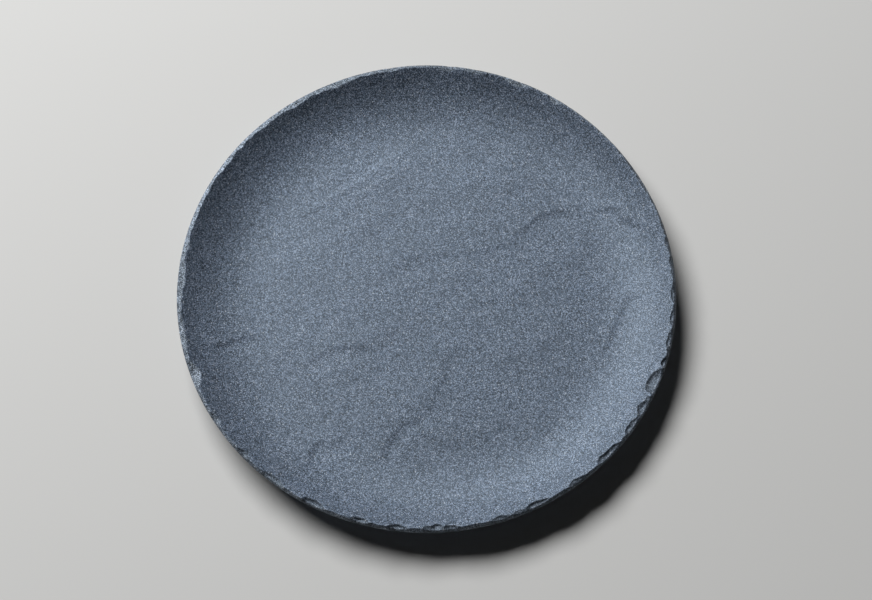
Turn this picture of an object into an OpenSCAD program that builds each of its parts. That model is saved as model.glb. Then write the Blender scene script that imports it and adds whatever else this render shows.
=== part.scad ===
// Round dished slate serving plate with a chipped rim, on four stick-on feet.
// Origin: centre of the footprint, on the surface it stands on. +Z is up.

/* [Plate] */
// Outer diameter, across the end faces of the rim
plate_d = 280; // [240:1:340]
// Thickness of the slate, square to its faces
plate_t = 4; // [3.6:0.1:6]
// Plan width of the rising wall, from the flat floor to the rim
wall_w = 41; // [38:0.5:55]
// Radius of the inside curve that lifts the floor into the wall
heel_r = 60; // [35:1:66]
// Slope of the wall at the rim, in degrees
wall_angle = 34; // [24:0.5:38]

/* [Chipped rim] */
// Plan width of the bevel along the rim's top edge
bevel_w = 1.2; // [0.3:0.1:1.5]
// Fall of that bevel towards the outside, in degrees
bevel_fall = 48; // [20:1:52]
// Blunted lower corner of the rim, measured along each face
edge_break = 0.5; // [0.3:0.1:1.6]
// Length along the rim of the longest flake
flake_len = 26; // [20:0.5:30]
// Reach of the furthest flake up the wall, from where the wall and the end face would meet
flake_reach = 8.6; // [6:0.1:9]
// Depth of the deepest flake there, square to the wall
flake_depth = 2.6; // [1.6:0.1:2.8]

/* [Feet] */
// Diameter of a foot
foot_d = 16; // [10:0.5:24]
// Thickness of a foot
foot_t = 1; // [0.8:0.1:4]
// Bevel round the lower edge of a foot
foot_bevel = 0.3; // [0.1:0.1:0.6]
// Gap between a foot and the edge of the plate's flat base
foot_margin = 13; // [6:0.5:30]
// Thickness of the adhesive disc between a foot and the plate
adhesive_t = 0.2; // [0.1:0.05:0.6]
// How far the adhesive disc stays inside the edge of its foot
adhesive_inset = 0.5; // [0.2:0.1:2]

/* [Hidden] */
CORNERS = ["front_left", "front_right", "rear_right", "rear_left"];

// Angle of each corner's foot round the plate
corner_angles = [225, 315, 45, 135];
// Straight steps that stand for one round stretch of the plate's outline
heel_steps = 12;
$fn = 144;
flake_fn = 60;

// Heights above the surface that the plate stands on
base_z = foot_t + adhesive_t;
floor_z = base_z + plate_t;
heel_z = floor_z + heel_r;

// Plan radii
plate_r = plate_d / 2;
floor_r = plate_r - wall_w;
foot_ring_r = floor_r - foot_margin - foot_d / 2;

// The flakes: place round the rim as a share of a turn, then length, reach and depth
// as shares of flake_len, flake_reach and flake_depth
flake_shares = [
    [0.013, 0.58, 0.40, 0.54], [0.028, 0.50, 0.36, 0.50], [0.043, 0.42, 0.28, 0.46],
    [0.060, 0.50, 0.28, 0.50], [0.090, 0.50, 0.35, 0.58], [0.111, 0.46, 0.19, 0.42],
    [0.131, 0.35, 0.21, 0.46], [0.160, 0.38, 0.47, 0.79], [0.168, 0.27, 0.33, 0.58],
    [0.188, 0.62, 0.52, 0.88], [0.209, 0.38, 0.29, 0.50], [0.219, 0.50, 0.47, 0.79],
    [0.238, 0.65, 0.47, 0.79], [0.259, 0.62, 0.24, 0.46], [0.276, 0.69, 0.36, 0.62],
    [0.291, 0.46, 0.26, 0.46], [0.312, 1.00, 0.49, 0.83], [0.329, 0.42, 0.26, 0.48],
    [0.344, 0.96, 0.51, 0.88], [0.367, 0.81, 0.40, 0.67], [0.390, 0.62, 0.21, 0.42],
    [0.407, 0.69, 0.35, 0.62], [0.422, 0.46, 0.24, 0.46], [0.436, 0.69, 0.27, 0.50],
    [0.459, 0.54, 0.28, 0.50], [0.473, 0.73, 0.43, 0.75], [0.495, 1.00, 0.57, 0.92],
    [0.515, 0.54, 0.35, 0.62], [0.531, 0.85, 0.47, 0.75], [0.548, 0.27, 0.34, 0.62],
    [0.560, 0.65, 0.76, 0.96], [0.595, 0.31, 0.44, 0.75], [0.624, 0.35, 0.43, 0.75],
    [0.649, 0.46, 0.53, 0.79], [0.678, 0.42, 0.58, 0.83], [0.709, 0.40, 0.42, 0.71],
    [0.717, 0.25, 0.20, 0.50], [0.732, 0.42, 0.48, 0.75], [0.755, 0.40, 0.59, 0.83],
    [0.765, 0.33, 0.48, 0.75], [0.771, 0.17, 0.26, 0.54], [0.797, 0.40, 0.50, 0.79],
    [0.809, 0.29, 0.42, 0.67], [0.819, 0.52, 0.55, 0.83], [0.851, 0.42, 0.50, 0.79],
    [0.876, 0.60, 0.56, 0.88], [0.899, 0.44, 0.56, 0.83], [0.914, 0.50, 0.74, 0.92],
    [0.933, 0.71, 1.00, 1.00], [0.948, 0.27, 0.44, 0.79], [0.963, 0.62, 0.46, 0.62],
    [0.980, 0.58, 0.43, 0.58], [0.995, 0.62, 0.42, 0.58]
];

// Points along the heel curve at a given radius about its centre, floor first
function heel_points(radius) = [
    for (i = [0 : heel_steps])
        let (a = wall_angle * i / heel_steps)
        [floor_r + radius * sin(a), heel_z - radius * cos(a)]
];

// Point on the straight stretch of the wall past a heel curve of this radius, at a plan radius
function wall_point(radius, plan_r) = [
    plan_r,
    heel_z - radius * cos(wall_angle) + (plan_r - floor_r - radius * sin(wall_angle)) * tan(wall_angle)
];

// Last to first
function reversed(points) = [for (i = [len(points) - 1 : -1 : 0]) points[i]];

// Where the wall's inner face and the rim's end face would meet if there were no bevel
rim_edge = wall_point(heel_r, plate_r);

// Half section of the plate: a slab of even thickness, bent up at the heel, with an upright end face
module plate_section() {
    under_r = heel_r + plate_t;
    ridge = wall_point(heel_r, plate_r - bevel_w);
    polygon(concat(
        [[0, base_z]],
        heel_points(under_r),
        [wall_point(under_r, plate_r - edge_break * cos(wall_angle))],
        [wall_point(under_r, plate_r) + [0, edge_break]],
        [ridge + [bevel_w, -bevel_w * tan(bevel_fall)]],
        [ridge],
        reversed(heel_points(heel_r)),
        [[0, floor_z]]
    ));
}

// How far the middle of a ball stands off a face, for the ball to cut this half length and depth out of it
function stand_off(half, depth) = (pow(half, 2) / depth - depth) / 2;

// A ball that takes a flake of this length, reach up the wall and depth out of the rim's top edge
module flake(turn, length, reach, depth) {
    half = length / 2;
    beyond = stand_off(half, reach);
    above = stand_off(half, depth);
    rotate([0, 0, turn])
        translate([rim_edge[0], 0, rim_edge[1]])
        rotate([0, -wall_angle, 0])
        translate([beyond, 0, above])
        rotate([90, 0, 0])
        sphere(r = norm([half, beyond, above]), $fn = flake_fn);
}

module slate_plate() {
    color([0.41, 0.45, 0.51])
    difference() {
        rotate_extrude() plate_section();
        for (share = flake_shares)
            flake(360 * share[0], flake_len * share[1], flake_reach * share[2], flake_depth * share[3]);
    }
}

// Puts a foot's pieces at one corner
module at_corner(i) {
    rotate([0, 0, corner_angles[i]])
        translate([foot_ring_r, 0, 0])
        rotate([0, 0, -corner_angles[i]])
        children();
}

module foot(i) {
    color([0.10, 0.10, 0.11])
    at_corner(i) {
        cylinder(h = foot_bevel, d1 = foot_d - 2 * foot_bevel, d2 = foot_d);
        translate([0, 0, foot_bevel])
            cylinder(h = foot_t - foot_bevel, d = foot_d);
    }
}

module adhesive(i) {
    color([0.86, 0.85, 0.80])
    at_corner(i)
        translate([0, 0, foot_t])
        cylinder(h = adhesive_t, d = foot_d - 2 * adhesive_inset);
}

slate_plate();
for (i = [0 : len(CORNERS) - 1]) {
    foot(i);
    adhesive(i);
}
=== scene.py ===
"""Dresses the slate serving plate: riven stone with a flaked rim, standing on four foam feet."""
import math

import bpy
import numpy as np
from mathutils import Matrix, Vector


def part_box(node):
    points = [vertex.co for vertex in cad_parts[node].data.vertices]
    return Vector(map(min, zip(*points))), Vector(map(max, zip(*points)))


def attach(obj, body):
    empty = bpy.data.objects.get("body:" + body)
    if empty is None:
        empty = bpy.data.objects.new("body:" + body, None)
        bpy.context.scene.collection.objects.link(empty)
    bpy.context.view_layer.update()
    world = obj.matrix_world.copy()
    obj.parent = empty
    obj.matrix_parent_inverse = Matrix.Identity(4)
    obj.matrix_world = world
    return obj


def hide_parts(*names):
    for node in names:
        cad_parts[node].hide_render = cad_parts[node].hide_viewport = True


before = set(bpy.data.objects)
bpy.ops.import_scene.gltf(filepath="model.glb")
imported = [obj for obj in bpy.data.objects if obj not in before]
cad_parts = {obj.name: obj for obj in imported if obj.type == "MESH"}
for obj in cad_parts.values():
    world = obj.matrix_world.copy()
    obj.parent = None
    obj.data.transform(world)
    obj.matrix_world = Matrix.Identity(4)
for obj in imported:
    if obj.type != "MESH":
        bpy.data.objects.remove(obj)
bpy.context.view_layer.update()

plate_low, plate_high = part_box("slate_plate")

CORNERS = ["front_left", "front_right", "rear_right", "rear_left"]
TAU = 2 * math.pi
# A length too short to matter, for comparing and dividing
TINY = 1e-6

# Sizes of the plate and its feet, in metres, as the solids have them
PLATE_T = 0.004
WALL_W = 0.041
HEEL_R = 0.060
WALL_ANGLE = math.radians(34)
BEVEL_W = 0.0012
BEVEL_FALL = math.radians(48)
EDGE_BREAK = 0.0005
FLAKE_LEN = 0.026
FLAKE_REACH = 0.0086
FLAKE_DEPTH = 0.0026
FOOT_BEVEL = 0.0003

# Places that follow from those sizes and from the frame
SIN_WALL, COS_WALL, TAN_WALL = math.sin(WALL_ANGLE), math.cos(WALL_ANGLE), math.tan(WALL_ANGLE)
PLATE_R = min(plate_high.x, plate_high.y, -plate_low.x, -plate_low.y)
FLOOR_Z = plate_low.z + PLATE_T
HEEL_Z = FLOOR_Z + HEEL_R
FLOOR_R = PLATE_R - WALL_W
RIDGE_R = PLATE_R - BEVEL_W
LOW_R = PLATE_R - EDGE_BREAK * COS_WALL

# The heel's gentle start, and how far that moves the heel out to leave the rim at its height
HEEL_EASE = 0.012
HEEL_SHIFT = 0.0006
# How many plan radii a face's slope is summed over, and how far they go, as a share of PLATE_R
SLOPE_POINTS = 4000
SLOPE_END = 1.02

# The rim's flakes: place as a share of a turn, then length, reach up the wall and depth as shares of
# FLAKE_LEN, FLAKE_REACH and FLAKE_DEPTH
FLAKE_SHARES = np.array([
    [0.013, 0.58, 0.40, 0.54], [0.028, 0.50, 0.36, 0.50], [0.043, 0.42, 0.28, 0.46],
    [0.060, 0.50, 0.28, 0.50], [0.090, 0.50, 0.35, 0.58], [0.111, 0.46, 0.19, 0.42],
    [0.131, 0.35, 0.21, 0.46], [0.160, 0.38, 0.47, 0.79], [0.168, 0.27, 0.33, 0.58],
    [0.188, 0.62, 0.52, 0.88], [0.209, 0.38, 0.29, 0.50], [0.219, 0.50, 0.47, 0.79],
    [0.238, 0.65, 0.47, 0.79], [0.259, 0.62, 0.24, 0.46], [0.276, 0.69, 0.36, 0.62],
    [0.291, 0.46, 0.26, 0.46], [0.312, 1.00, 0.49, 0.83], [0.329, 0.42, 0.26, 0.48],
    [0.344, 0.96, 0.51, 0.88], [0.367, 0.81, 0.40, 0.67], [0.390, 0.62, 0.21, 0.42],
    [0.407, 0.69, 0.35, 0.62], [0.422, 0.46, 0.24, 0.46], [0.436, 0.69, 0.27, 0.50],
    [0.459, 0.54, 0.28, 0.50], [0.473, 0.73, 0.43, 0.75], [0.495, 1.00, 0.57, 0.92],
    [0.515, 0.54, 0.35, 0.62], [0.531, 0.85, 0.47, 0.75], [0.548, 0.27, 0.34, 0.62],
    [0.560, 0.65, 0.76, 0.96], [0.595, 0.31, 0.44, 0.75], [0.624, 0.35, 0.43, 0.75],
    [0.649, 0.46, 0.53, 0.79], [0.678, 0.42, 0.58, 0.83], [0.709, 0.40, 0.42, 0.71],
    [0.717, 0.25, 0.20, 0.50], [0.732, 0.42, 0.48, 0.75], [0.755, 0.40, 0.59, 0.83],
    [0.765, 0.33, 0.48, 0.75], [0.771, 0.17, 0.26, 0.54], [0.797, 0.40, 0.50, 0.79],
    [0.809, 0.29, 0.42, 0.67], [0.819, 0.52, 0.55, 0.83], [0.851, 0.42, 0.50, 0.79],
    [0.876, 0.60, 0.56, 0.88], [0.899, 0.44, 0.56, 0.83], [0.914, 0.50, 0.74, 0.92],
    [0.933, 0.71, 1.00, 1.00], [0.948, 0.27, 0.44, 0.79], [0.963, 0.62, 0.46, 0.62],
    [0.980, 0.58, 0.43, 0.58], [0.995, 0.62, 0.42, 0.58],
])
# How much a flake is drawn out along the rim: fully up to this share of FLAKE_REACH, and less beyond it
FLAKE_STRETCH = 1.4
STRETCH_REACH = 0.6
# How steeply a flat-faced flake falls outwards, and the most it may fall for its depth over its reach
FACET_FALL = math.tan(math.radians(20))
FACET_LIMIT = 1.15
# Power by which a bowl-shaped flake flattens out, before its reach over FLAKE_REACH is added
BOWL_POWER = 2
# How far the flakes' outlines sway in and out, slide along the rim and are roughened, and the cells of each
SWAY, SWAY_CELL = 0.0014, 0.0080
SLIDE, SLIDE_CELL = 0.0016, 0.0090
ROUGH, ROUGH_CELL = 0.0004, 0.0022
# How much of a bowl the crisp flakes are, and where they lie, as shares of a turn: from the left on, past
# the front, to the right, each end reached over a run
CRISP_MOST = 0.95
CRISP_FROM, CRISP_FROM_RUN = 0.57, 0.05
CRISP_TO, CRISP_TO_RUN = 0.16, 0.06
# Where the flakes are shallower, at the rear right, as shares of a turn, and by how much
SHALLOW_FROM, SHALLOW_TO, SHALLOW_RUN = 0.12, 0.28, 0.04
SHALLOW_SHARE = 0.6

# The rim's bevel at even turns from +X on: its plan width as a share of BEVEL_W, its drop below the wall's
# face at the edge as a share of BEVEL_DROP, and painted light on its broken stone, a factor that makes it
# lighter or darker, the most as a painted highlight at the left rear
BEVEL_DROP = BEVEL_W * (TAN_WALL + math.tan(BEVEL_FALL))
BEVEL_SHARES = np.array([
    [2.1, 1.95, 1.0], [2.1, 1.90, 1.0], [1.0, 1.10, 1.0], [1.4, 1.05, 0.7],
    [2.3, 1.35, 1.0], [1.8, 1.15, 1.75], [1.9, 1.25, 1.0], [1.2, 1.00, 1.1],
    [1.1, 1.35, 1.0], [1.4, 1.45, 1.0], [1.4, 1.50, 1.0], [1.4, 1.45, 1.0],
])
BEVEL_TURNS = np.arange(len(BEVEL_SHARES)) * TAU / len(BEVEL_SHARES)
# How much the bevel's width wavers, and how much narrower it is where a crisp flake's mouth is this deep
BEVEL_WAVER, BEVEL_WAVER_CELL = 0.4, 0.0060
BEVEL_PINCH, BEVEL_PINCH_DEPTH = 0.4, 0.0015
# Least drop of the rim's edge past a flake's floor, and least height that is left of the end face
EDGE_FALL = 0.0019
EDGE_LEAST = 0.0001

# Broken stone: its pits, larger and smaller, the drop at which they are full, the drop at which the stone is
# all bare, how much of that a crisp flake lacks, and how the painted shade inside a crisp flake dies away to
# the mouth
PIT_DEPTH = 0.00035
PIT_CELL, SMALL_PIT_CELL, SMALL_PIT_SHARE = 0.0030, 0.0013, 0.6
PIT_DROP = 0.0006
BARE_DROP = 0.0003
CRISP_COVER = 0.6
PAINTED_SHADE_POWER = 0.35
# Lines along the layers of the end face: their pitch, how they waver and break up, and how deep they are
LAYER_PITCH = 0.0009
LAYER_WAVER, LAYER_WAVER_CELL = 2, 0.020
LAYER_BREAK_CELL = 0.004
LAYER_DEPTH = 0.00007

# Ledges where a layer of the slate ends: height in metres, then points as shares of PLATE_R.
# The higher side is on the left of the way the points run.
LEDGES = [
    (0.00020, [(-0.20, 0.10), (-0.10, 0.12), (-0.06, 0.16), (0.02, 0.17), (0.14, 0.18), (0.24, 0.19)]),
    (0.00026, [(0.16, 0.18), (0.25, 0.19), (0.33, 0.22), (0.39, 0.27)]),
    (0.00046, [(0.36, 0.25), (0.42, 0.30), (0.46, 0.34), (0.52, 0.36), (0.58, 0.36), (0.64, 0.34)]),
    (0.00052, [(0.66, 0.36), (0.76, 0.36), (0.80, 0.32), (0.85, 0.29), (0.93, 0.25), (0.98, 0.24)]),
    (0.00045, [(0.68, -0.28), (0.74, -0.20), (0.75, -0.15), (0.78, -0.10), (0.81, -0.03), (0.90, -0.02)]),
    (0.00055, [(-0.92, -0.25), (-0.83, -0.23), (-0.78, -0.20), (-0.68, -0.19)]),
    (0.00034, [(-0.50, -0.31), (-0.41, -0.26), (-0.35, -0.23), (-0.26, -0.23), (-0.19, -0.27)]),
    (0.00048, [
        (-0.24, -0.69), (-0.17, -0.68), (-0.15, -0.62), (-0.11, -0.57), (-0.06, -0.53), (0.01, -0.50),
    ]),
    (0.00026, [(-0.02, -0.51), (0.02, -0.47), (0.05, -0.40), (0.07, -0.33), (0.08, -0.28), (0.15, -0.21)]),
    (0.00025, [(-0.07, -0.62), (0.01, -0.60), (0.10, -0.65)]),
    (0.00048, [(-0.52, -0.78), (-0.46, -0.73), (-0.45, -0.66), (-0.40, -0.63), (-0.33, -0.63)]),
    (0.00018, [(0.12, -0.06), (0.21, -0.04), (0.32, 0.00)]),
    (0.00018, [(0.02, 0.12), (0.10, 0.07), (0.26, 0.05)]),
    (0.00020, [(0.39, -0.45), (0.42, -0.55), (0.48, -0.59)]),
    (0.00036, [(-0.06, 0.68), (-0.20, 0.58), (-0.34, 0.48), (-0.48, 0.38)]),
    (0.00020, [(-0.08, 0.60), (-0.22, 0.50), (-0.38, 0.39)]),
]
# How far a ledge's face, the ground behind it and the dip at its foot run out, and the dip's share of its
# height
LEDGE_FACE = 0.0012
LEDGE_BACK = 0.016
LEDGE_FOOT = 0.010
LEDGE_FOOT_SHARE = 0.35

# The rest of the riven relief: the way of the stone's grain, then height, cell and draw along the grain of a
# slow swell and of a finer one, and how far the ledges' lines waver
GRAIN_ANGLE = math.radians(28)
SWELL, SWELL_CELL, SWELL_STRETCH = 0.00022, 0.020, 2.2
FINE, FINE_CELL, FINE_STRETCH = 0.00004, 0.006, 1.5
WAVER, WAVER_CELL = 0.0025, 0.011
# From where and over what run the relief's rises die out to the rim, and its hollows grow under the base
RIM_CALM_R, RIM_CALM_RUN = 0.122, 0.014
BASE_CALM_R, BASE_CALM_RUN = 0.020, 0.010
# Radius past which the rim may be broken
RIM_R = 0.125

# Rings of points. Going out, the number of points in a ring doubles at these radii of the upper and the
# lower face. The stretches between them have so many rings, from the middle out above, from the rim in below.
FIRST_COUNT = 36
TOP_DOUBLINGS = [0.0085, 0.017, 0.034, 0.068, 0.131]
TOP_RINGS = [4, 6, 12, 24, 44, 28]
UNDER_DOUBLINGS = [0.017, 0.034, 0.068, 0.131, 0.1335]
UNDER_RINGS = [5, 2, 22, 12, 6, 6]
# Rings down the bevel, the end face and round the blunted lower corner, as shares of the way
BEVEL_STEPS = np.arange(1, 5) / 4
END_STEPS = np.arange(1, 8) / 7
BREAK_STEPS = np.array([0.33, 0.67, 1.0])
# The faces that rings lie on, in that order
TOP, BEVEL, END, BREAK, UNDER = range(5)

# A foot: rings of its flat faces and how far out its dimples go, as shares of its radius, rings of its side,
# points in a ring, how far its side is waisted, and the depth and cell of its dimples
FOOT_RINGS = np.array([0, 0.3, 0.6, 0.85, 0.97])
FOOT_DIMPLED = 0.9
FOOT_SIDE_RINGS = 6
FOOT_COUNT = 72
FOOT_WAIST = 0.012
DIMPLE_DEPTH, DIMPLE_CELL = 0.00005, 0.0012

# The sky's strength, the lamp's bearing, height above the table, distance and size, and half the width of
# the floor
SKY = 0.015
LAMP_PLAN, LAMP_RISE = math.radians(126), math.radians(45)
LAMP_REACH = 2.4
LAMP_SIZE = (1.9, 0.9)
STAGE_HALF = 3.0
# The photograph's view: height above the table, distance from the point it is aimed at, and the lens in mm
VIEW_RISE = math.radians(69.16)
VIEW_REACH = 0.9670
VIEW_AIM = (0.00514, -0.00120)
VIEW_LENS, VIEW_SENSOR = 70, 36


def ease(t):
    """Smooth step: 0 at 0 and below, 1 at 1 and above, three t squared less two t cubed between."""
    t = np.clip(t, 0.0, 1.0)
    return t * t * (3 - 2 * t)


def noise(x, y, cell, seed):
    """Gradient noise: slopes of random direction at the corners of square cells, blended across each cell."""
    lattice = 256
    lean = np.random.default_rng(seed).uniform(0, TAU, (lattice, lattice))
    gx, gy = x / cell, y / cell
    ix, iy = np.floor(gx).astype(int), np.floor(gy).astype(int)
    fx, fy = gx - ix, gy - iy

    def corner(dx, dy):
        angle = lean[(ix + dx) % lattice, (iy + dy) % lattice]
        return np.cos(angle) * (fx - dx) + np.sin(angle) * (fy - dy)

    bx, by = ease(fx), ease(fy)
    low = corner(0, 0) * (1 - bx) + corner(1, 0) * bx
    high = corner(0, 1) * (1 - bx) + corner(1, 1) * bx
    return low * (1 - by) + high * by


def layered_noise(x, y, cell, layers, seed):
    """Sum of noises, each with half the cell and half the height of the one before."""
    return sum(noise(x, y, cell / 2**k, seed + k) / 2**k for k in range(layers))


def smooth_line(points, steps=8):
    """Smooth line through the points, in steps to a span.

    Each span is a cubic, and its slope at a point is that from the point before to the point after. A point
    is added beyond each end, as far on as the end's own neighbour lies back.
    """
    p = np.asarray(points, float)
    p = np.vstack([2 * p[0] - p[1], p, 2 * p[-1] - p[-2]])
    t = np.linspace(0, 1, steps, endpoint=False)[None, :, None]
    a, b, c, d = (p[k : len(p) - 3 + k, None, :] for k in range(4))
    curve = 0.5 * (2 * b + (c - a) * t + (2 * a - 5 * b + 4 * c - d) * t**2 + (3 * b - a - 3 * c + d) * t**3)
    return np.vstack([curve.reshape(-1, 2), p[-2]])


def ledge_height(x, y, height, points):
    """Height that one ledge adds at each place.

    With d the distance to the ledge's line, positive on its higher side, the ground stands up there and
    dies away with d, dips a little on the lower side, and passes from one to the other by a tanh of d.
    The ledge fades out towards both ends of its line.
    """
    line = smooth_line(points) * PLATE_R
    start, step = line[:-1], np.diff(line, axis=0)
    length2 = (step**2).sum(1)
    rx, ry = x[:, None] - start[:, 0], y[:, None] - start[:, 1]
    along = np.clip((rx * step[:, 0] + ry * step[:, 1]) / length2, 0, 1)
    ox, oy = rx - along * step[:, 0], ry - along * step[:, 1]
    gap2 = ox**2 + oy**2
    nearest = gap2.argmin(1)
    row = np.arange(len(x))
    side = np.sign(step[nearest, 0] * ry[row, nearest] - step[nearest, 1] * rx[row, nearest])
    d = side * np.sqrt(gap2[row, nearest])
    share = (nearest + along[row, nearest]) / len(step)
    fade = np.sqrt(np.sin(math.pi * share))
    up = 0.5 * (1 + np.tanh(d / LEDGE_FACE))
    crest = up * np.exp(-np.maximum(d, 0) / LEDGE_BACK)
    dip = (1 - up) * np.exp(-np.maximum(-d, 0) / LEDGE_FOOT)
    return height * fade * (crest - LEDGE_FOOT_SHARE * dip)


def riven_relief(x, y, seed):
    """Relief of a split slate face, above or below its even surface.

    It is the sum of a slow swell and a finer one, both noises drawn out along the stone's grain, and of the
    ledges, on lines that waver by a noise of their own.
    """
    along = x * math.cos(GRAIN_ANGLE) + y * math.sin(GRAIN_ANGLE)
    across = y * math.cos(GRAIN_ANGLE) - x * math.sin(GRAIN_ANGLE)
    swell = SWELL * layered_noise(along / SWELL_STRETCH, across, SWELL_CELL, layers=3, seed=seed)
    fine = FINE * layered_noise(along / FINE_STRETCH, across, FINE_CELL, layers=2, seed=seed + 10)
    wx = x + WAVER * layered_noise(x, y, WAVER_CELL, layers=2, seed=seed + 14)
    wy = y + WAVER * layered_noise(x, y, WAVER_CELL, layers=2, seed=seed + 17)
    return swell + fine + sum(ledge_height(wx, wy, height, points) for height, points in LEDGES)


def slope_sine(r, heel_r):
    """Sine of a face's slope: plan distance past the floor over the heel's radius, up to the wall's slope.

    It starts gently, by a parabola over HEEL_EASE to each side of the floor's edge.
    """
    past = r - FLOOR_R - HEEL_SHIFT
    start = (past + HEEL_EASE) ** 2 / (4 * HEEL_EASE)
    run = np.where(np.abs(past) < HEEL_EASE, start, np.maximum(past, 0))
    return np.minimum(run / heel_r, SIN_WALL)


def face_height(r, heel_r):
    """Height of a face of the slab, by its heel's radius: the running sum of its slope, from the middle."""
    plan = np.linspace(0, SLOPE_END * PLATE_R, SLOPE_POINTS)
    sine = slope_sine(plan, heel_r)
    rise = np.cumsum(sine / np.sqrt(1 - sine**2)) * plan[1]
    return HEEL_Z - heel_r + np.interp(r, plan, rise)


def top_height(r):
    """Height of the upper face."""
    return face_height(r, HEEL_R)


def under_height(r):
    """Height of the lower face, a slab's thickness below the upper one."""
    return face_height(r, HEEL_R + PLATE_T)


# Heights of the lower corner of the rim, as if it were sharp, and of the end face's foot above it
CORNER_Z = float(under_height(PLATE_R))
END_FOOT_Z = CORNER_Z + EDGE_BREAK


def flake_drop(r, turn, rough, crisp):
    """Drop below the wall's face that the deepest flake makes at each place.

    A flake is a round patch, in plan, that passes through both ends of its mouth on the rim and through its
    reach. A soft flake is a facet that falls away evenly from the patch's outline. A crisp one is a bowl:
    steep at the outline and flatter towards the mouth, the more so the further it reaches.
    """
    place, length_share, reach_share, depth_share = FLAKE_SHARES.T
    half = FLAKE_LEN * length_share / 2
    reach = FLAKE_REACH * reach_share * COS_WALL
    depth = FLAKE_DEPTH * depth_share / COS_WALL
    beyond = (half**2 / reach - reach) / 2
    along = PLATE_R * ((turn[:, None] - TAU * place + math.pi) % TAU - math.pi)
    along = along / np.interp(reach_share, [STRETCH_REACH, 1.0], [FLAKE_STRETCH, 1.0])
    inside = reach + beyond + rough[:, None] - np.hypot(PLATE_R - r[:, None] + beyond, along)
    inside = np.maximum(inside, 0)
    facet = inside * np.minimum(TAN_WALL + FACET_FALL, FACET_LIMIT * depth / reach)
    bowl = depth * (1 - (1 - np.minimum(inside / reach, 1)) ** (BOWL_POWER + reach / FLAKE_REACH))
    return (facet + crisp[:, None] * (bowl - facet)).max(1)


def broken_rim(r, turn):
    """Drop of the rim's top below the wall's face, how bare it is, and how much painted shade it gets.

    The drop is that of the flakes, on outlines moved by noise. Past the ridge it grows evenly to the drop of
    the rim's edge, and pits are added where it is deep enough. Stone is bare by the drop, less so in a crisp
    flake. Painted shade, standing in for the shade of a crisp flake's steep outline, is strongest at that
    outline and dies away to its mouth.
    """
    x, y, share = r * np.cos(turn), r * np.sin(turn), turn / TAU
    sway = SWAY * layered_noise(x, y, SWAY_CELL, layers=3, seed=40)
    slide = SLIDE * layered_noise(x, y, SLIDE_CELL, layers=3, seed=44) / PLATE_R
    rough = ROUGH * noise(x, y, ROUGH_CELL, seed=48)
    crisp_start = ease((share - CRISP_FROM) / CRISP_FROM_RUN)
    crisp_end = ease((CRISP_TO - share) / CRISP_TO_RUN)
    crisp = CRISP_MOST * np.maximum(crisp_start, crisp_end)
    mouth = flake_drop(PLATE_R + sway, turn + slide, rough, crisp)

    bevel_w = BEVEL_W * np.interp(turn, BEVEL_TURNS, BEVEL_SHARES[:, 0], period=TAU)
    bevel_w = bevel_w * (1 + BEVEL_WAVER * layered_noise(x, y, BEVEL_WAVER_CELL, layers=2, seed=64))
    bevel_w = bevel_w * (1 - BEVEL_PINCH * crisp * ease(mouth / BEVEL_PINCH_DEPTH))
    bevel_drop = BEVEL_DROP * np.interp(turn, BEVEL_TURNS, BEVEL_SHARES[:, 1], period=TAU)
    ridge_r = PLATE_R - bevel_w

    shallow = ease((share - SHALLOW_FROM) / SHALLOW_RUN) * ease((SHALLOW_TO - share) / SHALLOW_RUN)
    chipped = flake_drop(np.minimum(r, ridge_r) + sway, turn + slide, rough, crisp)
    chipped = chipped * (1 - SHALLOW_SHARE * shallow)
    edge_drop = np.maximum(bevel_drop, chipped + EDGE_FALL)
    edge_drop = np.minimum(edge_drop, top_height(PLATE_R) - END_FOOT_Z - EDGE_LEAST)
    past_ridge = np.clip((r - ridge_r) / bevel_w, 0, 1)
    drop = chipped + np.maximum(edge_drop - chipped, 0) * past_ridge
    pits = noise(x, y, PIT_CELL, seed=60) + SMALL_PIT_SHARE * noise(x, y, SMALL_PIT_CELL, seed=61)
    drop = drop + PIT_DEPTH * np.maximum(pits, 0) * ease(drop / PIT_DROP)

    bare = ease(drop / BARE_DROP) * (1 - CRISP_COVER * crisp)
    to_mouth = np.clip(chipped / np.maximum(mouth, TINY), 0, 1)
    # Painted shade inside a crisp flake, standing in for the shade and cast shadow of its steep outline
    across = crisp * ease(chipped / BARE_DROP) * (1 - to_mouth) ** PAINTED_SHADE_POWER
    return drop, bare, across


def ring_faces(counts):
    """Faces between neighbouring rings of points.

    They are four-sided where two rings have as many points, threes of triangles where one has twice as many,
    and a fan where one is a single point. They point outwards if the rings run from the top, over the edge
    and under.
    """
    starts = np.concatenate([[0], np.cumsum(counts)])
    faces = []
    for k in range(len(counts) - 1):
        here, there = int(counts[k]), int(counts[k + 1])
        i = np.arange(min(here, there) if min(here, there) > 1 else max(here, there))
        a, b = starts[k], starts[k + 1]
        if here == there:
            j = (i + 1) % here
            faces += np.column_stack([a + i, b + i, b + j, a + j]).tolist()
        elif here == 1:
            faces += np.column_stack([a + 0 * i, b + i, b + (i + 1) % there]).tolist()
        elif there == 1:
            faces += np.column_stack([a + i, b + 0 * i, a + (i + 1) % here]).tolist()
        elif there == 2 * here:
            j, m, n = (i + 1) % here, 2 * i + 1, (2 * i + 2) % there
            faces += np.column_stack([a + i, b + 2 * i, b + m]).tolist()
            faces += np.column_stack([a + i, b + m, a + j]).tolist()
            faces += np.column_stack([a + j, b + m, b + n]).tolist()
        else:
            j, m, n = (i + 1) % there, 2 * i + 1, (2 * i + 2) % here
            faces += np.column_stack([a + 2 * i, b + i, a + m]).tolist()
            faces += np.column_stack([a + m, b + i, b + j]).tolist()
            faces += np.column_stack([a + m, b + j, a + n]).tolist()
    return faces


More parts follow.
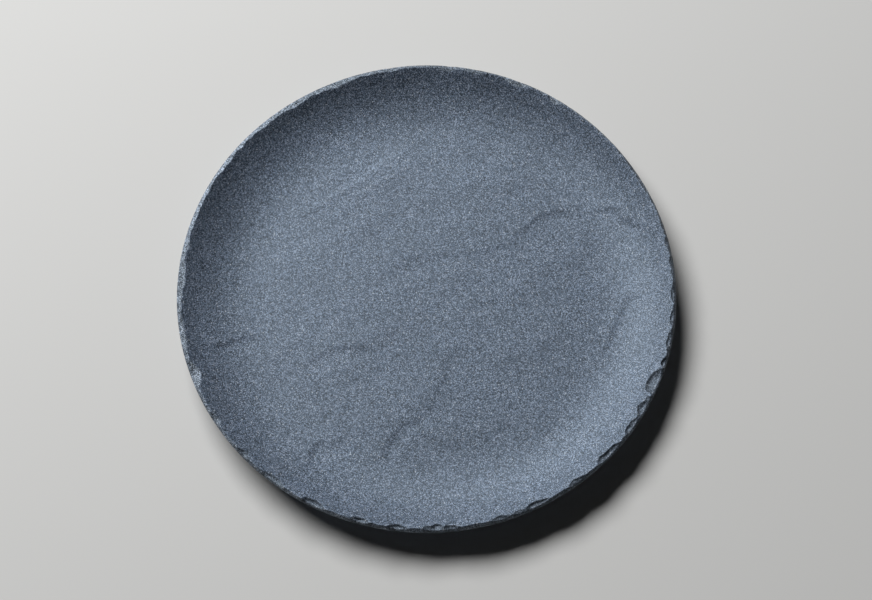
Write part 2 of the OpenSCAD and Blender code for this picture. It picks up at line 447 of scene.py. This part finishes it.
def ring_points(r, z, counts):
    """Points of rings at these radii and heights: their ring's number, turn, radius and height."""
    ring = np.repeat(np.arange(len(counts)), counts)
    first = np.concatenate([[0], np.cumsum(counts)])[:-1]
    turn = TAU * (np.arange(len(ring)) - first[ring]) / counts[ring]
    return ring, turn, r[ring], z[ring]


def add_mesh(name, points, faces):
    """A smooth-shaded mesh object at the origin, riding on the root body."""
    mesh = bpy.data.meshes.new(name)
    mesh.from_pydata(points.tolist(), [], faces)
    mesh.polygons.foreach_set("use_smooth", np.ones(len(mesh.polygons), bool))
    mesh.validate()
    piece = bpy.data.objects.new(name, mesh)
    bpy.context.collection.objects.link(piece)
    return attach(piece, "root")


def spans(edges, steps):
    """Values from each edge to the next in its number of even steps, and the last edge."""
    parts = [np.linspace(*ends, count, endpoint=False) for *ends, count in zip(edges, edges[1:], steps)]
    return np.concatenate(parts + [edges[-1:]])


def plate_rings():
    """Radii, heights, point counts and faces of the rings that section the plate.

    They run from the middle of its floor over the rim to the middle of its base. The bevel falls evenly, the
    end face is upright, and the lower corner is a parabola that leaves along one face and arrives along the
    other.
    """
    top = spans([0, *TOP_DOUBLINGS, RIDGE_R], TOP_RINGS)
    under = spans([LOW_R, *UNDER_DOUBLINGS[::-1], 0], UNDER_RINGS)[1:]
    bevel_z = float(top_height(RIDGE_R)) - BEVEL_STEPS * BEVEL_W * math.tan(BEVEL_FALL)
    end_z = bevel_z[-1] + END_STEPS * (END_FOOT_Z - bevel_z[-1])
    to, back = BREAK_STEPS, 1 - BREAK_STEPS
    break_r = PLATE_R * (1 - to**2) + LOW_R * to**2
    break_z = END_FOOT_Z * back**2 + 2 * to * back * CORNER_Z + to**2 * under_height(LOW_R)
    radii = [top, RIDGE_R + BEVEL_STEPS * BEVEL_W, np.full(len(END_STEPS), PLATE_R), break_r, under]
    r = np.concatenate(radii)
    z = np.concatenate([top_height(top), bevel_z, end_z, break_z, under_height(under)])
    face = np.repeat([TOP, BEVEL, END, BREAK, UNDER], [len(part) for part in radii])
    top_level = np.searchsorted(TOP_DOUBLINGS, r - TINY)
    under_level = np.searchsorted(UNDER_DOUBLINGS, r - TINY)
    counts = FIRST_COUNT * 2 ** np.where(face == UNDER, under_level, top_level)
    counts[[0, -1]] = 1
    return r, z, counts, face


def slate_plate():
    """The plate: rings of its section, moved by the riven relief along the slab's normal, with a broken rim.

    The end face runs evenly from the rim's edge down to its foot, and is drawn in by fine lines along the
    layers of the slate, a sine of the height. Three attributes go to the material: bare is how far the split
    face is broken off, the second is painted light that makes the rim's broken stone lighter or darker by its
    turn round the rim, and across is painted shade inside crisp flakes.
    """
    ring_r, ring_z, counts, ring_face = plate_rings()
    ring, turn, r, z = ring_points(ring_r, ring_z, counts)
    face = ring_face[ring]
    x, y = r * np.cos(turn), r * np.sin(turn)
    slope = np.arcsin(slope_sine(r, HEEL_R))
    rim = (r > RIM_R) & (face <= BEVEL)
    struck, across = np.zeros_like(r), np.zeros_like(r)
    drop, struck[rim], across[rim] = broken_rim(r[rim], turn[rim])

    rise = riven_relief(x, y, seed=3)
    rise = rise - ease((r - RIM_CALM_R) / RIM_CALM_RUN) * np.maximum(rise, 0)
    hollow = np.minimum(riven_relief(-y, x, seed=23), 0) * ease((r - BASE_CALM_R) / BASE_CALM_RUN)
    lift = np.select([face == TOP, face == UNDER], [rise, -hollow], 0)
    r = r - lift * np.sin(slope)
    z = z + lift * np.cos(slope)

    wall_z = np.where(face[rim] == TOP, z[rim], top_height(r[rim]))
    z[rim] = np.maximum(wall_z - drop, under_height(r[rim]) + EDGE_BREAK + EDGE_LEAST)
    z = np.minimum(z, plate_high.z)
    edge = ring == np.flatnonzero(ring_face == BEVEL)[-1]
    down = END_STEPS[:, None]
    z[face == END] = (z[edge] * (1 - down) + END_FOOT_Z * down).ravel()

    waver = LAYER_WAVER * noise(x, y, LAYER_WAVER_CELL, seed=52)
    lines = np.sin(TAU * z / LAYER_PITCH + waver) + noise(x, y, LAYER_BREAK_CELL, seed=53)
    r = r - LAYER_DEPTH * (1 + np.clip(lines, -1, 1)) * ((face == END) | (face == BREAK))

    points = np.column_stack([r * np.cos(turn), r * np.sin(turn), z])
    piece = add_mesh("slate_plate_riven", points, ring_faces(counts))
    bare = np.where((face == TOP) | (face == UNDER), struck, 1.0)
    # Painted light on the rim's broken stone: lighter or darker by its turn round the rim, a painted
    # highlight at the left rear
    painted_rim_light = np.interp(turn, BEVEL_TURNS, BEVEL_SHARES[:, 2], period=TAU)
    for name, share in (("bare", bare), ("painted_rim_light", painted_rim_light), ("across", across)):
        piece.data.attributes.new(name, "FLOAT", "POINT").data.foreach_set("value", share.astype(np.float32))
    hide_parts("slate_plate")
    return piece


def foam_foot(corner):
    """A pad of foam sheet, in rings from the middle of its top to the middle of its underside.

    Its side is waisted by a sine of the way down and ends in a bevelled lower edge. The underside is dimpled
    by the foam's cells, where a noise is above zero.
    """
    low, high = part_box(corner + "_foot")
    foot_r, foot_t = (high.x - low.x) / 2, high.z - low.z
    side = np.linspace(0, 1, FOOT_SIDE_RINGS)
    base = (1 - FOOT_BEVEL / foot_r) * np.append(1, FOOT_RINGS[::-1])
    ring_r = foot_r * np.concatenate([FOOT_RINGS, 1 - FOOT_WAIST * np.sin(math.pi * side), base])
    top_z, side_z = np.full(len(FOOT_RINGS), foot_t), foot_t + side * (FOOT_BEVEL - foot_t)
    ring_z = np.concatenate([top_z, side_z, 0 * base])
    counts = np.full(len(ring_r), FOOT_COUNT)
    counts[[0, -1]] = 1
    _, turn, r, z = ring_points(ring_r, ring_z, counts)
    x, y = r * np.cos(turn), r * np.sin(turn)
    dimples = DIMPLE_DEPTH * np.maximum(noise(x, y, DIMPLE_CELL, seed=70), 0)
    z = z + np.where((z == 0) & (r < FOOT_DIMPLED * foot_r), dimples, 0)
    middle = (low + high) / 2
    points = np.column_stack([x + middle.x, y + middle.y, z + low.z])
    piece = add_mesh(corner + "_foam_pad", points, ring_faces(counts))
    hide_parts(corner + "_foot")
    return piece


class Wiring:
    """Adds nodes to one tree. An input is given as a value, or as the output of another node."""

    def __init__(self, tree):
        self.tree = tree

    def add(self, kind, inputs=None, **settings):
        """A new node of this kind, with its settings and inputs."""
        node = self.tree.nodes.new("ShaderNode" + kind)
        for name, value in settings.items():
            setattr(node, name, value)
        for name, value in (inputs or {}).items():
            self.feed(node.inputs[name], value)
        return node

    def feed(self, socket, value):
        """Links an output to the socket, or sets its value."""
        if isinstance(value, bpy.types.NodeSocket):
            self.tree.links.new(value, socket)
        else:
            socket.default_value = value

    def group(self, tree, **inputs):
        """Outputs of a node group, given its inputs by name."""
        named = {name.replace("_", " "): value for name, value in inputs.items()}
        return self.add("Group", named, node_tree=tree).outputs

    def math(self, operation, a, b=0.0, c=0.0):
        """Result of a calculation with up to three values."""
        return self.add("Math", {0: a, 1: b, 2: c}, operation=operation).outputs[0]

    def swing(self, value, amount):
        """One, plus or minus the amount, as the value goes from 0 to 1."""
        offset = self.math("SUBTRACT", value, 0.5)
        return self.math("MULTIPLY_ADD", offset, self.math("MULTIPLY", amount, 2.0), 1.0)

    def tint(self, colour, tone):
        """The colour, lighter or darker by the tone."""
        return self.add("VectorMath", {0: colour, "Scale": tone}, operation="SCALE").outputs[0]

    def mix(self, share, a, b):
        """Colour a, turning into colour b by the share."""
        return self.add("Mix", {0: share, 6: a, 7: b}, data_type="RGBA").outputs[2]

    def attribute(self, name):
        """Value of one of the piece's own attributes."""
        return self.add("Attribute", attribute_name=name).outputs["Fac"]


def new_group(name, inputs, outputs):
    """An empty shader node group: its tree, its wiring, what it is given and what it puts out."""
    tree = bpy.data.node_groups.new(name, "ShaderNodeTree")
    for label in inputs:
        tree.interface.new_socket(label, in_out="INPUT", socket_type="NodeSocketFloat")
    for label in outputs:
        tree.interface.new_socket(label, in_out="OUTPUT", socket_type="NodeSocketFloat")
    given = tree.nodes.new("NodeGroupInput").outputs
    put = tree.nodes.new("NodeGroupOutput").inputs
    return tree, Wiring(tree), given, put


def mineral_grain():
    """Fine crystalline grain: each grain is a cell of a random pattern, on a surface of small bumps.

    A grain's tone, at full contrast, is four times the cube of a chance from 0 to 1, so that most grains are
    dark, a few are light, and they average one.
    """
    power = 3.0
    inputs = ["Grain Size", "Bump Size", "Contrast"]
    tree, w, given, put = new_group("mineral_grain", inputs, ["Tone", "Height"])
    place = w.add("TexCoord").outputs["Object"]
    grain_scale = w.math("DIVIDE", 1.0, given["Grain Size"])
    bump_scale = w.math("DIVIDE", 1.0, given["Bump Size"])
    cells = w.add("TexVoronoi", {"Vector": place, "Scale": grain_scale})
    bumps = w.add("TexNoise", {"Vector": place, "Scale": bump_scale, "Detail": 1.0})
    chance = w.add("SeparateColor", {"Color": cells.outputs["Color"]}).outputs[0]
    rare = w.math("MULTIPLY", w.math("POWER", chance, power), power + 1)
    w.feed(put["Tone"], w.math("MULTIPLY_ADD", w.math("SUBTRACT", rare, 1.0), given["Contrast"], 1.0))
    w.feed(put["Height"], bumps.outputs[0])
    return tree


def slow_drift():
    """Slow change of tone over patches that are drawn out along one direction in the plane of the plate."""
    inputs = ["Patch Size", "Stretch", "Turn", "Contrast"]
    tree, w, given, put = new_group("slow_drift", inputs, ["Tone", "Value"])
    place = w.add("TexCoord").outputs["Object"]
    turned = w.add("VectorRotate", {"Vector": place, "Angle": given["Turn"]}, rotation_type="Z_AXIS")
    thin = w.add("CombineXYZ", {"X": w.math("DIVIDE", 1.0, given["Stretch"]), "Y": 1.0, "Z": 1.0})
    drawn = w.add("VectorMath", {0: turned.outputs[0], 1: thin.outputs[0]}, operation="MULTIPLY").outputs[0]
    scale = w.math("DIVIDE", 1.0, given["Patch Size"])
    patch = w.add("TexNoise", {"Vector": drawn, "Scale": scale, "Detail": 3.0, "Roughness": 0.55}).outputs[0]
    w.feed(put["Tone"], w.swing(patch, given["Contrast"]))
    w.feed(put["Value"], patch)
    return tree


def glints():
    """Painted glints of crystals: a bright spot in the middle of some cells of a random cell pattern."""
    tree, w, given, put = new_group("glints", ["Spacing", "Share", "Spot"], ["Mask"])
    place = w.add("TexCoord").outputs["Object"]
    scale = w.math("DIVIDE", 1.0, given["Spacing"])
    cells = w.add("TexVoronoi", {"Vector": place, "Scale": scale})
    near = w.math("LESS_THAN", cells.outputs["Distance"], given["Spot"])
    chance = w.add("SeparateColor", {"Color": cells.outputs["Color"]}).outputs[0]
    picked = w.math("LESS_THAN", chance, given["Share"])
    w.feed(put["Mask"], w.math("MULTIPLY", near, picked))
    return tree


GRAIN, DRIFT, GLINTS = mineral_grain(), slow_drift(), glints()


def new_material(name):
    """A material, its wiring and its Principled shader."""
    material = bpy.data.materials.new(name)
    material.use_nodes = True
    return material, Wiring(material.node_tree), material.node_tree.nodes["Principled BSDF"]


def slate_material():
    """Riven slate: blue-grey and grainy with a broad sheen, slow clouds, faint streaks and painted glints.

    It is greyer and duller where it is broken. Painted light makes the rim's broken stone lighter or darker
    round the rim, and painted shade darkens the inside of crisp flakes.
    """
    dark_grain, light_grain, light_share = (0.069, 0.106, 0.169, 1), (0.107, 0.120, 0.145, 1), 0.25
    broken_stone = (0.133, 0.157, 0.191)
    # Painted glints: a light colour on sparse spots, standing in for light glinting off the stone's crystals
    painted_glint, painted_glint_cover = (0.66, 0.70, 0.75, 1), 0.8
    painted_shade_depth = 0.6
    dullness, bare_dullness, cloud_dullness = 0.50, 0.14, 0.12
    sheen = (0.69, 0.84, 1.0, 1)
    bump_height = 0.00011
    grain_turn = -0.49

    material, w, shader = new_material("riven_slate")
    grain = w.group(GRAIN, Grain_Size=0.00032, Bump_Size=0.0003, Contrast=1.0)
    cloud = w.group(DRIFT, Patch_Size=0.06, Stretch=1.3, Turn=0.6, Contrast=0.14)
    streak = w.group(DRIFT, Patch_Size=0.007, Stretch=7.0, Turn=grain_turn, Contrast=0.12)
    mottle = w.group(DRIFT, Patch_Size=0.018, Stretch=1.8, Turn=grain_turn, Contrast=0.18)
    patch = w.group(DRIFT, Patch_Size=0.0035, Stretch=1.5, Turn=0.9, Contrast=0.7)
    painted_glint_mask = w.group(GLINTS, Spacing=0.0022, Share=0.36, Spot=0.13)["Mask"]
    bare, painted_rim_light, across = w.attribute("bare"), w.attribute("painted_rim_light"), w.attribute("across")

    whole = w.mix(w.math("MULTIPLY", grain["Tone"], light_share), dark_grain, light_grain)
    # Painted light makes the rim's broken stone lighter or darker by its turn round the rim
    broken = w.tint(broken_stone, w.math("MULTIPLY", patch["Tone"], painted_rim_light))
    drift = w.math("MULTIPLY", cloud["Tone"], w.math("MULTIPLY", mottle["Tone"], streak["Tone"]))
    # Painted shade: the inside of crisp flakes is darkened by the across attribute
    shade = w.math("MULTIPLY_ADD", across, -painted_shade_depth, 1.0)
    tone = w.math("MULTIPLY", w.math("MULTIPLY", grain["Tone"], drift), shade)
    stone = w.tint(w.mix(bare, whole, broken), tone)
    # The painted glints cover the stone's colour at their spots
    w.feed(shader.inputs["Base Color"], w.mix(w.math("MULTIPLY", painted_glint_mask, painted_glint_cover), stone, painted_glint))

    dull = w.math("MULTIPLY_ADD", bare, bare_dullness, dullness)
    w.feed(shader.inputs["Roughness"], w.math("MULTIPLY_ADD", cloud["Value"], cloud_dullness, dull))
    shader.inputs["Specular IOR Level"].default_value = 1.0
    shader.inputs["Specular Tint"].default_value = sheen
    bump = w.add("Bump", {"Strength": 1.0, "Distance": bump_height, "Height": grain["Height"]})
    w.feed(shader.inputs["Normal"], bump.outputs[0])
    return material


def foam_material():
    """Black closed-cell foam: dull, finely grained and a little uneven in tone."""
    black = (0.020, 0.020, 0.022)
    dullness, cloud_dullness = 0.7, 0.2
    bump_height = 0.0001

    material, w, shader = new_material("black_foam")
    grain = w.group(GRAIN, Grain_Size=0.0004, Bump_Size=0.0006, Contrast=0.5)
    cloud = w.group(DRIFT, Patch_Size=0.004, Stretch=1.0, Turn=0.0, Contrast=0.3)
    tone = w.math("MULTIPLY", grain["Tone"], cloud["Tone"])
    w.feed(shader.inputs["Base Color"], w.tint(black, tone))
    w.feed(shader.inputs["Roughness"], w.math("MULTIPLY_ADD", cloud["Value"], cloud_dullness, dullness))
    bump = w.add("Bump", {"Strength": 0.5, "Distance": bump_height, "Height": grain["Height"]})
    w.feed(shader.inputs["Normal"], bump.outputs[0])
    return material


def film_material():
    """Cream adhesive film, clouded where it wets the stone unevenly."""
    cream = (0.70, 0.68, 0.60)
    dullness, cloud_dullness = 0.3, 0.3

    material, w, shader = new_material("adhesive_film")
    cloud = w.group(DRIFT, Patch_Size=0.003, Stretch=1.6, Turn=0.4, Contrast=0.2)
    w.feed(shader.inputs["Base Color"], w.tint(cream, cloud["Tone"]))
    w.feed(shader.inputs["Roughness"], w.math("MULTIPLY_ADD", cloud["Value"], cloud_dullness, dullness))
    return material


def stage():
    """Pale floor, one broad soft lamp from behind on the left, and a weak even sky.

    Lamp and sky together light the floor about as an even sky of strength one would.
    """
    mesh = bpy.data.meshes.new("floor")
    half = STAGE_HALF
    corners = [(-half, -half, 0), (half, -half, 0), (half, half, 0), (-half, half, 0)]
    mesh.from_pydata(corners, [], [(0, 1, 2, 3)])
    floor = bpy.data.objects.new("floor", mesh)
    bpy.context.collection.objects.link(floor)
    material, _, shader = new_material("pale_floor")
    shader.inputs["Base Color"].default_value = (0.62, 0.62, 0.61, 1)
    shader.inputs["Roughness"].default_value = 0.9
    mesh.materials.append(material)

    world = bpy.data.worlds.new("studio")
    world.use_nodes = True
    world.node_tree.nodes["Background"].inputs["Color"].default_value = (1, 1, 1, 1)
    world.node_tree.nodes["Background"].inputs["Strength"].default_value = SKY
    bpy.context.scene.world = world

    lamp = bpy.data.lights.new("key", "AREA")
    lamp.shape = "ELLIPSE"
    lamp.size, lamp.size_y = LAMP_SIZE
    lamp.energy = math.pi**2 * LAMP_REACH**2 * (1 - SKY) / math.sin(LAMP_RISE)
    key = bpy.data.objects.new("key", lamp)
    key.location = (
        LAMP_REACH * math.cos(LAMP_RISE) * math.cos(LAMP_PLAN),
        LAMP_REACH * math.cos(LAMP_RISE) * math.sin(LAMP_PLAN),
        LAMP_REACH * math.sin(LAMP_RISE),
    )
    key.rotation_euler = (math.pi / 2 - LAMP_RISE, 0, LAMP_PLAN + math.pi / 2)
    bpy.context.collection.objects.link(key)


def camera():
    """The photograph's view: about 69 degrees above the table, from the front."""
    lens = bpy.data.cameras.new("camera")
    lens.lens = VIEW_LENS
    lens.sensor_width = VIEW_SENSOR
    eye = bpy.data.objects.new("camera", lens)
    aim_x, aim_y = VIEW_AIM
    eye.location = (aim_x, aim_y - VIEW_REACH * math.cos(VIEW_RISE), VIEW_REACH * math.sin(VIEW_RISE))
    eye.rotation_euler = (math.pi / 2 - VIEW_RISE, 0, 0)
    bpy.context.collection.objects.link(eye)
    bpy.context.scene.camera = eye


slate_plate().data.materials.append(slate_material())
foam, film = foam_material(), film_material()
for corner in CORNERS:
    foam_foot(corner).data.materials.append(foam)
    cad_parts[corner + "_adhesive"].material_slots[0].material = film
stage()
camera()
bpy.context.scene.view_settings.view_transform = "Standard"
